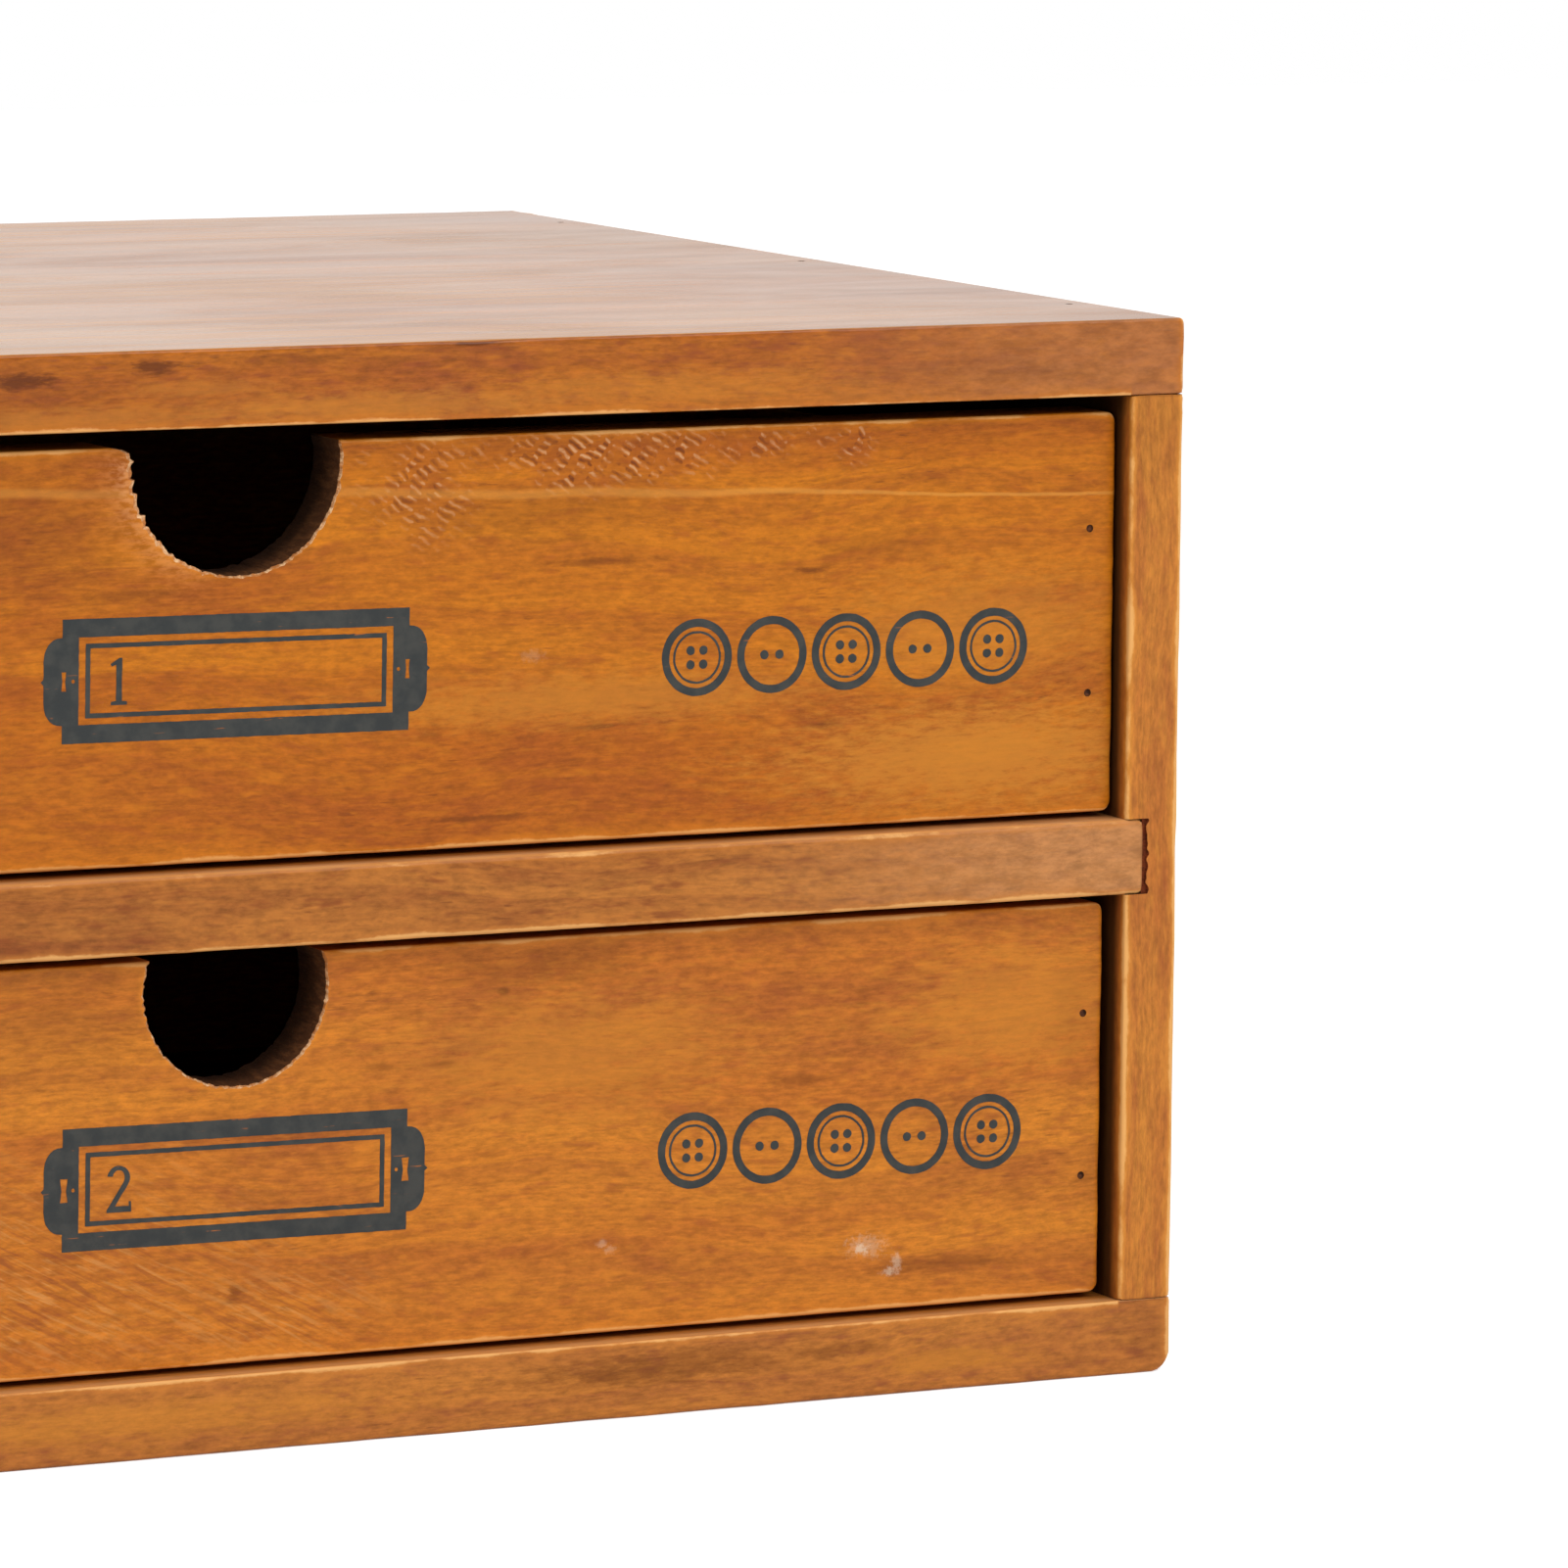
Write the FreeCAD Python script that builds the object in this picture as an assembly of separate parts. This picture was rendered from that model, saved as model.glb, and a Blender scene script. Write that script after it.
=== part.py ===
"""Tabletop cabinet with two drawers for buttons and other small craft parts.

Millimetres, +Z up. The origin is the middle of the footprint at table height. The width runs
along X and the drawers open towards -Y. The boards are glued and bradded, and every brad head
is punched just below the wood's surface.
"""
import FreeCAD, Part
import os

Vector = FreeCAD.Vector

# Cabinet
cabinet_width = 320.0
cabinet_depth = 250.0
board_thickness = 12.0  # top board, bottom board and shelf
side_thickness = 9.5
lower_bay_height = 65.0
upper_bay_height = 67.0
housing_depth = 3.8  # slot in each side that takes an end of the shelf
housing_end_gap = 0.7  # left between the shelf's end and the bottom of its slot
arris_round = 1.0  # eased outer edges
foot_corner_round = 3.4  # rounder lower left and right edges of the bottom board

# Back panel, set into a rebate all round
back_panel_thickness = 4.0
rebate_width = 5.0
back_panel_clearance = 0.3  # round the panel's edge

# Drawer fronts
front_thickness = 11.0
front_recess = 4.0  # closed front behind the cabinet's face
upper_front_side_gap = 0.4
lower_front_side_gap = 1.5
front_foot_gap = 0.9
upper_head_gap = 2.8
lower_head_gap = 1.5
front_corner_round = 1.8
front_arris_round = 0.9
notch_depth = 20.0
upper_notch_radius = 17.0
lower_notch_radius = 15.0

# Drawer boxes
box_side_gap = 1.5
drawer_side_thickness = 7.0
drawer_side_height = 56.0
drawer_back_thickness = 7.0
running_gap = 0.3  # under the drawer sides
stop_gap = 0.3  # between a closed drawer and the back panel
drawer_bottom_thickness = 3.0
groove_depth = 3.5
groove_rise = 5.0  # groove's lower face above the lower edge of the drawer sides
groove_play = 0.2  # above the drawer bottom, inside its groove
groove_end_gap = 0.4  # from the drawer bottom's edge to the bottom of its groove

# Brads
shank_radius = 0.45
head_radius = 0.6
head_thickness = 0.5
point_length = 1.5
point_radius = 0.1
punch_depth = 0.4  # head below the surface
board_brad_length = 28.0  # top and bottom boards into the sides
drawer_brad_length = 22.0  # drawer joints, and the sides into the shelf
panel_brad_length = 12.0  # thin panels
brads_per_joint = 3
brad_end_distance = 30.0  # first and last brad of a row from the board's end
drawer_brad_heights = (19.0, 45.0)  # above the lower edge of the drawer front

# Levels and planes that several pieces share
half_width = cabinet_width / 2
half_opening = half_width - side_thickness
face_y = -cabinet_depth / 2
rear_y = cabinet_depth / 2
panel_y = rear_y - back_panel_thickness
lower_floor = board_thickness
shelf_base = lower_floor + lower_bay_height
upper_floor = shelf_base + board_thickness
top_base = upper_floor + upper_bay_height
cabinet_height = top_base + board_thickness

half_drawer = half_opening - box_side_gap
half_drawer_inside = half_drawer - drawer_side_thickness
front_y = face_y + front_recess
front_back_y = front_y + front_thickness
drawer_rear_y = panel_y - stop_gap


def block(x, y, z):
    """Box between a low and a high value along each axis."""
    size = [high - low for low, high in (x, y, z)]
    return Part.makeBox(*size, Vector(x[0], y[0], z[0]))


def mirrored_block(side, x, y, z):
    """Box whose x range is measured outwards on one side (-1 left, 1 right)."""
    return block(sorted((side * x[0], side * x[1])), y, z)


def round_edges(shape, radius, lines):
    """Rounds each edge that lies on one of the lines. A line is two planes, such as {x, z}."""
    def lies_on(edge, line):
        return all(abs(getattr(vertex.Point, axis) - value) < 1e-6
                   for vertex in edge.Vertexes for axis, value in line.items())

    edges = [edge for edge in shape.Edges if any(lies_on(edge, line) for line in lines)]
    return shape.makeFillet(radius, edges)


def spread(low, high, count):
    """Evenly spaced positions, the first and last brad_end_distance in from the ends."""
    first = low + brad_end_distance
    step = (high - low - 2 * brad_end_distance) / (count - 1)
    return [first + step * index for index in range(count)]


class BradRow:
    """Equal brads driven into a surface at the given points, and the holes they fill."""

    def __init__(self, points, direction, length):
        self.brads = [self.brad(point, direction, length) for point in points]
        self.holes = [brad.fuse(Part.makeCylinder(head_radius, punch_depth, point, direction))
                      for brad, point in zip(self.brads, points)]

    @staticmethod
    def brad(surface_point, direction, length):
        start = surface_point + direction * punch_depth
        straight = length - point_length
        head = Part.makeCylinder(head_radius, head_thickness, start, direction)
        shank = Part.makeCylinder(shank_radius, straight, start, direction)
        point = Part.makeCone(shank_radius, point_radius, point_length,
                              start + direction * straight, direction)
        return head.fuse([shank, point]).removeSplitter()


def brad_group(rows):
    return Part.makeCompound([brad for row in rows for brad in row.brads])


def bore(shape, rows):
    """The piece with the holes of all brads that pass into it."""
    return shape.cut([hole for row in rows for hole in row.holes]).removeSplitter()


# Cabinet

def back_panel_rebate():
    return block((-half_opening - rebate_width, half_opening + rebate_width),
                 (panel_y, rear_y),
                 (lower_floor - rebate_width, top_base + rebate_width))


def top_board(rows):
    board = block((-half_width, half_width), (face_y, rear_y), (top_base, cabinet_height))
    lines = [{"y": y, "z": cabinet_height} for y in (face_y, rear_y)]
    lines += [{"x": x, "z": cabinet_height} for x in (-half_width, half_width)]
    lines += [{"x": x, "y": y} for x in (-half_width, half_width) for y in (face_y, rear_y)]
    board = round_edges(board, arris_round, lines)
    return bore(board.cut(back_panel_rebate()), rows)


def bottom_board(rows):
    board = block((-half_width, half_width), (face_y, rear_y), (0, lower_floor))
    feet = [{"x": x, "z": 0} for x in (-half_width, half_width)]
    board = round_edges(board, foot_corner_round, feet)
    board = round_edges(board, arris_round, [{"y": face_y, "z": 0}, {"y": rear_y, "z": 0}])
    return bore(board.cut(back_panel_rebate()), rows)


def side_board(side, rows):
    board = mirrored_block(side, (half_opening, half_width), (face_y, rear_y),
                           (lower_floor, top_base))
    lines = [{"x": side * half_width, "y": y} for y in (face_y, rear_y)]
    board = round_edges(board, arris_round, lines)
    housing = mirrored_block(side, (half_opening, half_opening + housing_depth),
                             (face_y, panel_y), (shelf_base, upper_floor))
    return bore(board.cut([housing, back_panel_rebate()]), rows)


def shelf(rows):
    half_length = half_opening + housing_depth - housing_end_gap
    board = block((-half_length, half_length), (face_y, panel_y), (shelf_base, upper_floor))
    return bore(board, rows)


def back_panel(rows):
    reach = rebate_width - back_panel_clearance
    panel = block((-half_opening - reach, half_opening + reach), (panel_y, rear_y),
                  (lower_floor - reach, top_base + reach))
    return bore(panel, rows)


def cabinet():
    side_middle = half_width - side_thickness / 2
    shelf_middle = (shelf_base + upper_floor) / 2
    depth_places = spread(face_y, rear_y, brads_per_joint)
    width_places = spread(-half_opening, half_opening, brads_per_joint)
    down = Vector(0, 0, -1)
    up = Vector(0, 0, 1)
    forward = Vector(0, -1, 0)

    top_rows = {side: BradRow([Vector(side * side_middle, y, cabinet_height)
                               for y in depth_places], down, board_brad_length)
                for side in (-1, 1)}
    bottom_rows = {side: BradRow([Vector(side * side_middle, y, 0) for y in depth_places],
                                 up, board_brad_length)
                   for side in (-1, 1)}
    shelf_rows = {side: BradRow([Vector(side * half_width, y, shelf_middle)
                                 for y in depth_places],
                                Vector(-side, 0, 0), drawer_brad_length)
                  for side in (-1, 1)}

    def panel_row(points):
        return BradRow(points, forward, panel_brad_length)

    rebate_middle = rebate_width / 2
    panel_top = panel_row([Vector(x, rear_y, top_base + rebate_middle) for x in width_places])
    panel_shelf = panel_row([Vector(x, rear_y, shelf_middle) for x in width_places])
    panel_bottom = panel_row([Vector(x, rear_y, lower_floor - rebate_middle)
                              for x in width_places])
    bay_middles = (lower_floor + lower_bay_height / 2, upper_floor + upper_bay_height / 2)
    panel_sides = {side: panel_row([Vector(side * (half_opening + rebate_middle), rear_y, z)
                                    for z in bay_middles])
                   for side in (-1, 1)}
    panel_rows = [panel_top, panel_shelf, panel_bottom, *panel_sides.values()]

    def side_rows(side):
        return [top_rows[side], bottom_rows[side], shelf_rows[side], panel_sides[side]]

    return {
        "top_board": top_board([*top_rows.values(), panel_top]),
        "bottom_board": bottom_board([*bottom_rows.values(), panel_bottom]),
        "left_side_board": side_board(-1, side_rows(-1)),
        "right_side_board": side_board(1, side_rows(1)),
        "shelf": shelf([*shelf_rows.values(), panel_shelf]),
        "back_panel": back_panel(panel_rows),
        "top_board_brads": brad_group(top_rows.values()),
        "bottom_board_brads": brad_group(bottom_rows.values()),
        "shelf_brads": brad_group(shelf_rows.values()),
        "back_panel_brads": brad_group(panel_rows),
    }


# Drawers: each function takes the level of the board that the drawer slides on

def groove_levels(floor):
    base = floor + running_gap + groove_rise
    return base, base + drawer_bottom_thickness + groove_play


def drawer_front(floor, head, side_gap, notch_radius, rows):
    """Front board between its foot gap and the level of its head, with the finger notch."""
    foot = floor + front_foot_gap
    half_front = half_opening - side_gap
    board = block((-half_front, half_front), (front_y, front_back_y), (foot, head))
    corners = [{"x": x, "z": z} for x in (-half_front, half_front) for z in (foot, head)]
    board = round_edges(board, front_corner_round, corners)
    board = round_edges(board, front_arris_round, [{"y": front_y}])
    notch_centre = Vector(0, front_y, head - notch_depth + notch_radius)
    notch = Part.makeCylinder(notch_radius, front_thickness, notch_centre, Vector(0, 1, 0))
    half_groove = half_drawer_inside + groove_depth
    groove = block((-half_groove, half_groove), (front_back_y - groove_depth, front_back_y),
                   groove_levels(floor))
    return bore(board.cut([notch, groove]), rows)


def drawer_side(side, floor, rows):
    base = floor + running_gap
    board = mirrored_block(side, (half_drawer_inside, half_drawer),
                           (front_back_y, drawer_rear_y), (base, base + drawer_side_height))
    groove = mirrored_block(side, (half_drawer_inside, half_drawer_inside + groove_depth),
                            (front_back_y, drawer_rear_y), groove_levels(floor))
    return bore(board.cut(groove), rows)


def drawer_bottom(floor, rows):
    reach = groove_depth - groove_end_gap
    base = groove_levels(floor)[0]
    panel = block((-half_drawer_inside - reach, half_drawer_inside + reach),
                  (front_back_y - reach, drawer_rear_y),
                  (base, base + drawer_bottom_thickness))
    return bore(panel, rows)


def drawer_back(floor, rows):
    base = groove_levels(floor)[0] + drawer_bottom_thickness
    top = floor + running_gap + drawer_side_height
    board = block((-half_drawer_inside, half_drawer_inside),
                  (drawer_rear_y - drawer_back_thickness, drawer_rear_y), (base, top))
    return bore(board, rows)


def drawer(name, floor, head, side_gap, notch_radius):
    side_middle = half_drawer - drawer_side_thickness / 2
    back_middle = drawer_rear_y - drawer_back_thickness / 2
    levels = [floor + front_foot_gap + height for height in drawer_brad_heights]

    front_rows = {side: BradRow([Vector(side * side_middle, front_y, z) for z in levels],
                                Vector(0, 1, 0), drawer_brad_length)
                  for side in (-1, 1)}
    back_rows = {side: BradRow([Vector(side * half_drawer, back_middle, z) for z in levels],
                               Vector(-side, 0, 0), drawer_brad_length)
                 for side in (-1, 1)}
    width_places = spread(-half_drawer_inside, half_drawer_inside, brads_per_joint)
    bottom_row = BradRow([Vector(x, back_middle, groove_levels(floor)[0]) for x in width_places],
                         Vector(0, 0, 1), panel_brad_length)

    return {
        f"{name}_drawer_front": drawer_front(floor, head, side_gap, notch_radius,
                                             front_rows.values()),
        f"{name}_drawer_left_side": drawer_side(-1, floor, [front_rows[-1], back_rows[-1]]),
        f"{name}_drawer_right_side": drawer_side(1, floor, [front_rows[1], back_rows[1]]),
        f"{name}_drawer_back": drawer_back(floor, [*back_rows.values(), bottom_row]),
        f"{name}_drawer_bottom": drawer_bottom(floor, [bottom_row]),
        f"{name}_drawer_front_brads": brad_group(front_rows.values()),
        f"{name}_drawer_back_brads": brad_group(back_rows.values()),
        f"{name}_drawer_bottom_brads": brad_group([bottom_row]),
    }


nodes = {
    **cabinet(),
    **drawer("upper", upper_floor, top_base - upper_head_gap, upper_front_side_gap,
             upper_notch_radius),
    **drawer("lower", lower_floor, shelf_base - lower_head_gap, lower_front_side_gap,
             lower_notch_radius),
}

os.makedirs("parts", exist_ok=True)
for node_name, shape in nodes.items():
    shape.exportStep(f"parts/{node_name}.step")
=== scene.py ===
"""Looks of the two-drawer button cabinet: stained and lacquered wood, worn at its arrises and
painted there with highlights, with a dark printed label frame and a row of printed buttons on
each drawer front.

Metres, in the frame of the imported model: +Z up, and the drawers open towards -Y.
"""

import math
from dataclasses import dataclass

import bmesh
import bpy
import numpy as np
from mathutils import Matrix, Vector, noise

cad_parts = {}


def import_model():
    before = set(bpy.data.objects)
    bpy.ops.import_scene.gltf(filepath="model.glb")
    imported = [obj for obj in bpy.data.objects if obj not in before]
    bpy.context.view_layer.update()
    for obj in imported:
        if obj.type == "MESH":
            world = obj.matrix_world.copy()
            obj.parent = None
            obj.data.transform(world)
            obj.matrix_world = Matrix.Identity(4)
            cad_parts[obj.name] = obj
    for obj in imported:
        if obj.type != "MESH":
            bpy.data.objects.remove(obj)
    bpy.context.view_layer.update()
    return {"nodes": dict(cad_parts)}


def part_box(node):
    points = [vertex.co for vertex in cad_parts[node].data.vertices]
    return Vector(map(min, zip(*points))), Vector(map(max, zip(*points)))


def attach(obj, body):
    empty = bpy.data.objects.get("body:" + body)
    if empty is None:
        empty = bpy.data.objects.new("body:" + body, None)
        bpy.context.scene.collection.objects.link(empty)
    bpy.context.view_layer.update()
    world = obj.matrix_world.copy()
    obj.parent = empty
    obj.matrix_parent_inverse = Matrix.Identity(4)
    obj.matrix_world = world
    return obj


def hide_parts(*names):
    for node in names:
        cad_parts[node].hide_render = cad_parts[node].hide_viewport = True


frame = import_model()

MM = 0.001
FACES = ("x-", "x+", "y-", "y+", "z-", "z+")

# Linear colours of the stain
HONEY = (0.55, 0.17, 0.007)
AMBER = (0.44, 0.115, 0.006)
RUSSET = (0.3, 0.062, 0.01)
UMBER = (0.085, 0.02, 0.006)
DARK_STREAK = (0.12, 0.027, 0.003)
# Pale colour of the arrises: worn wood and painted highlight together
WORN_AND_LIT = (0.9, 0.5, 0.17)
GOLDEN = (0.6, 0.225, 0.022)
SHADOW = (0.03, 0.011, 0.004)
CUT_WOOD = (0.05, 0.016, 0.006)
INK = (0.026, 0.03, 0.03)
THIN_INK = (0.046, 0.047, 0.042)
SCUFFED = (0.76, 0.62, 0.46)
TORN_FIBRES = (0.72, 0.38, 0.18)
RAW_WOOD = (0.5, 0.18, 0.05)
RAW_FIBRES = (0.85, 0.55, 0.3)
# Painted shade deep inside the finger notches
NOTCH_SHADE = (0.012, 0.006, 0.004)

# Places along Y
CABINET_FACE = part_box("top_board")[0][1]
DRAWER_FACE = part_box("upper_drawer_front")[0][1]


# Meshes

class Box:
    """A node's box, with its corners as arrays."""

    def __init__(self, node):
        self.low, self.high = (np.array(corner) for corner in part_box(node))

    def face(self, name):
        """The place of a face such as "y-" along its axis."""
        axis = "xyz".index(name[0])
        return (self.low if name[1] == "-" else self.high)[axis]


ARRIS_ROWS = np.array((0, 0.12, 0.25, 0.4, 0.6, 0.9, 1.3, 2.0, 3.0)) * MM
ROW_SPACING = 5 * MM


def rows(low, high, dense=None, marks=()):
    """Grid lines along one axis, closer near both ends, and in the dense stretch if there is one.

    marks are places where what covers the board changes: each gets a line on both its sides.
    """
    near = ARRIS_ROWS[ARRIS_ROWS < 0.45 * (high - low)]
    first, last = low + near[-1], high - near[-1]
    count = max(1, round((last - first) / ROW_SPACING))
    lines = [low + near[:-1], np.linspace(first, last, count + 1), high - near[:-1]]
    if dense:
        start, end, step = dense
        start, end = max(start, first + step / 2), min(end, last - step / 2)
        middle = lines[1]
        lines[1] = middle[(middle < start - step / 2) | (middle > end + step / 2)]
        lines.append(np.linspace(start, end, round((end - start) / step) + 1))
    lines += [np.array((mark - 0.2 * MM, mark + 0.2 * MM)) for mark in marks]
    return np.sort(np.concatenate(lines))


def box_surface(axes):
    """Vertices and quads of a box whose faces are gridded along the lines of each axis."""
    numbers, points, quads = {}, [], []

    def vertex(key):
        if key not in numbers:
            numbers[key] = len(points)
            points.append([axes[axis][key[axis]] for axis in range(3)])
        return numbers[key]

    for axis in range(3):
        u, v = (axis + 1) % 3, (axis + 2) % 3
        for end in (0, len(axes[axis]) - 1):
            for i in range(len(axes[u]) - 1):
                for j in range(len(axes[v]) - 1):
                    quad = []
                    for di, dj in ((0, 0), (1, 0), (1, 1), (0, 1)):
                        key = [end, end, end]
                        key[u], key[v] = i + di, j + dj
                        quad.append(vertex(tuple(key)))
                    quads.append(quad if end else quad[::-1])
    return np.array(points), quads


def new_mesh(name, points, faces, materials=(), slots=None):
    mesh = bpy.data.meshes.new(name)
    mesh.from_pydata([tuple(point) for point in points], [], faces)
    for material in materials:
        mesh.materials.append(material)
    mesh.polygons.foreach_set("material_index", slots or [0] * len(faces))
    return mesh


def new_object(name, data):
    piece = bpy.data.objects.new(name, data)
    bpy.context.scene.collection.objects.link(piece)
    return piece


def wobble(points, frequency, seed):
    """Smooth noise from -1 to 1 at each point."""
    shift = Vector((seed * 1.7, seed * -2.3, seed * 3.1))
    return np.array([noise.noise(Vector(point) * frequency + shift) for point in points])


def arris_distances(points, low, high):
    """Distance from each point to each of the box's twelve arrises, by faces such as "y-z+"."""
    planes = dict(zip(FACES, np.stack((points - low, high - points), axis=2).reshape(-1, 6).T))
    return {a + b: np.hypot(planes[a], planes[b]) for a in FACES for b in FACES if a[0] < b[0]}


class Board:
    """A board with rounded, unevenly worn arrises, pale with wear and painted highlight, and a
    slightly wavy surface.

    radii maps pairs of faces, such as "y-z+", to the radius of their arris. Other arrises get
    PLAIN_RADIUS, and those in joints stay sharp. worn maps pairs of faces to how
    pale their arris looks, from wear and painted highlight together, 1 unless given. seams maps
    pairs
    to the distance from the middle beyond which their arris is in a joint. chips are worn-off
    places:
    (position, reach, extra radius). Radii, distances and positions are given in millimetres.
    """
    PLAIN_RADIUS = 0.4 * MM
    JOINT_RADIUS = 0.1 * MM
    WAVINESS = 0.05 * MM
    WEAR_AND_HIGHLIGHT_REACH = 0.8 * MM
    GRIME_REACH = 0.7 * MM
    SMOOTH_ANGLE = math.radians(38)

    def __init__(self, name, node, materials, radii=(), joints=(), worn=(), seams=(), chips=(),
                 dense=(None,) * 3, seed=0):
        self.node, self.box, self.materials = node, Box(node), materials
        self.joints, self.worn, self.cutters, self.rims = joints, dict(worn), [], []
        self.radii = {pair: radius * MM for pair, radius in dict(radii).items()}
        self.seams = {pair: limit * MM for pair, limit in dict(seams).items()}
        low, high = self.box.low, self.box.high
        marks = {sign * limit for limit in self.seams.values() if limit for sign in (-1, 1)}, (), ()
        points, quads = box_surface([rows(low[i], high[i], dense[i], marks[i]) for i in range(3)])

        corners = [pair for pair in self.radii if pair[::2] == "xz"]
        total, weights = 0, 0
        for pair, distance in arris_distances(points, low, high).items():
            if pair in corners:
                continue
            radius = self.JOINT_RADIUS if pair in self.joints else self.radius(pair)
            weight = (distance + 0.3 * MM) ** -3 * radius ** 1.5
            total, weights = total + weight * radius, weights + weight
        uneven = 1 + 0.3 * wobble(points, 110, seed) + 0.3 * wobble(points, 420, seed + 1)
        radius = total / weights * uneven
        for place, reach, extra in chips:
            away = np.linalg.norm(points - np.array(place) * MM, axis=1)
            ragged = 1 + 0.5 * wobble(points, 900, seed + 2)
            radius += extra * MM * ragged * np.exp(-(away / (reach * MM)) ** 2)

        radius = np.clip(radius, 0.05 * MM, 0.45 * (high - low).min())[:, None]
        core = np.clip(points, low + radius, high - radius)
        for pair in corners:
            self.sweep_corner(core, points, radius, pair)
        outward = points - core
        length = np.linalg.norm(outward, axis=1, keepdims=True)
        normal = outward / length
        points = core + normal * np.minimum(length, radius)
        hollow = 0.5 + 0.5 * wobble(points, 28, seed + 3)
        points -= normal * (self.WAVINESS * hollow)[:, None]
        self.piece = new_object(name, new_mesh(name, points, quads, materials))

    def sweep_corner(self, core, points, radius, pair):
        """Bends the core round an arris along Y, so that the arrises it meets follow the curve."""
        corner = self.radii[pair]
        outward = np.array([1 if sign == "+" else -1 for sign in pair[1::2]])
        centre = np.array([self.box.face(pair[:2]), self.box.face(pair[2:])]) - outward * corner
        away = points[:, ::2] - centre
        inside = (away * outward > 0).all(axis=1)
        length = np.maximum(1e-9, np.linalg.norm(away, axis=1, keepdims=True))
        reach = np.minimum(1, np.maximum(0, corner - radius) / length)
        core[inside, ::2] = (centre + away * reach)[inside]

    def radius(self, pair):
        return self.radii.get(pair, self.PLAIN_RADIUS)

    def cut(self, points, faces, slot=1):
        """Adds a closed cutter. slot is the material of the faces that it leaves, or a list."""
        slots = [slot] * len(faces) if isinstance(slot, int) else slot
        self.cutters.append(new_object("cutter", new_mesh("cutter", points, faces,
                                                          self.materials, slots)))

    def cut_box(self, low, high):
        self.cut(*box_surface([np.array(ends) for ends in zip(low, high)]))

    def punch(self, heads, direction, radius=0.62 * MM, depth=0.5 * MM):
        """Small round hole over each brad head, from outside the board down past the head."""
        direction = Vector(direction)
        side = direction.orthogonal().normalized()
        other = direction.cross(side)
        count = 14
        points, faces = [], []
        for head in heads:
            first = len(points)
            for level in (-2 * MM, depth):
                centre = Vector(head) + direction * level
                for index in range(count):
                    angle = math.tau * index / count
                    spread = side * math.cos(angle) + other * math.sin(angle)
                    points.append(centre + spread * radius)
            ring = [first + index for index in range(count)]
            after = ring[1:] + ring[:1]
            faces += [[a, b, b + count, a + count] for a, b in zip(ring, after)]
            faces += [ring[::-1], [index + count for index in ring]]
        self.cut(points, faces)

    def finish(self, body, slot):
        """Makes the cuts, marks wear and painted highlight along the arrises, and puts the piece on
        its body.
        """
        if self.cutters:
            carve(self.piece, self.cutters)
        mesh = self.piece.data
        points = np.empty(len(mesh.vertices) * 3)
        mesh.vertices.foreach_get("co", points)
        points = points.reshape(-1, 3)
        wear_and_highlight, grime, torn = np.zeros((3, len(points)))
        # Pale falloff from each arris: partly wear, partly painted highlight for light on the
        # rounded arris
        for pair, distance in arris_distances(points, self.box.low, self.box.high).items():
            beyond = np.maximum(0, distance - 0.6 * self.radius(pair))
            rubbed_and_lit = self.worn.get(pair, 1.0) * np.exp(-beyond / self.WEAR_AND_HIGHLIGHT_REACH)
            joined = np.abs(points[:, 0]) > self.seams.get(pair, math.inf)
            joined |= pair in self.joints
            wear_and_highlight = np.maximum(wear_and_highlight, np.where(joined, 0, rubbed_and_lit))
            grime = np.maximum(grime, np.where(joined, np.exp(-distance / self.GRIME_REACH), 0))
        for notch in self.rims:
            rim, fuzz = notch.rim_wear(points)
            wear_and_highlight, torn = np.maximum(wear_and_highlight, rim), np.maximum(torn, fuzz)
        for label, values in (("wear_and_highlight", wear_and_highlight), ("grime", grime), ("torn", torn)):
            mesh.attributes.new(label, "FLOAT", "POINT").data.foreach_set("value", values)
        mesh.polygons.foreach_set("use_smooth", [True] * len(mesh.polygons))
        mesh.set_sharp_from_angle(angle=self.SMOOTH_ANGLE)
        self.piece.modifiers.new("shading", "WEIGHTED_NORMAL").keep_sharp = True
        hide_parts(self.node)
        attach(self.piece, body)


def evaluated_mesh(piece):
    """A new mesh of the piece as its modifiers or its curve settings make it."""
    bpy.context.view_layer.update()
    graph = bpy.context.evaluated_depsgraph_get()
    return bpy.data.meshes.new_from_object(piece.evaluated_get(graph))


def carve(piece, cutters):
    """Takes the cutters out of the piece's mesh, one after the other, and removes them.

    The cut faces have many corners, some of them in line, so they are made into triangles here.
    """
    for cutter in cutters:
        modifier = piece.modifiers.new("cut", "BOOLEAN")
        modifier.object, modifier.operation, modifier.solver = cutter, "DIFFERENCE", "EXACT"
        modifier.material_mode = "INDEX"
    cut = evaluated_mesh(piece)
    whole = bmesh.new()
    whole.from_mesh(cut)
    bmesh.ops.dissolve_degenerate(whole, dist=0.0005 * MM, edges=whole.edges)
    bmesh.ops.triangulate(whole, faces=whole.faces, quad_method="BEAUTY", ngon_method="BEAUTY")
    whole.to_mesh(cut)
    whole.free()
    piece.modifiers.clear()
    piece.data = cut
    for cutter in cutters:
        bpy.data.objects.remove(cutter)


def brad_heads(node, outward):
    """The middle of each brad head's outer face in a CAD node of brads that all point one way."""
    axis = "xyz".index(outward[0])
    sign = -1 if outward[1] == "-" else 1
    heads = []
    for vertex in frame["nodes"][node].data.vertices:
        lateral = vertex.co.copy()
        lateral[axis] = 0
        for head in heads:
            if (head["sum"] / head["count"] - lateral).length < 2 * MM:
                break
        else:
            head = {"sum": Vector(), "count": 0, "level": -math.inf}
            heads.append(head)
        head["sum"] += lateral
        head["count"] += 1
        head["level"] = max(head["level"], sign * vertex.co[axis])
    for head in heads:
        head["place"] = head["sum"] / head["count"]
        head["place"][axis] = sign * head["level"]
    return [head["place"] for head in heads]


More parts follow.
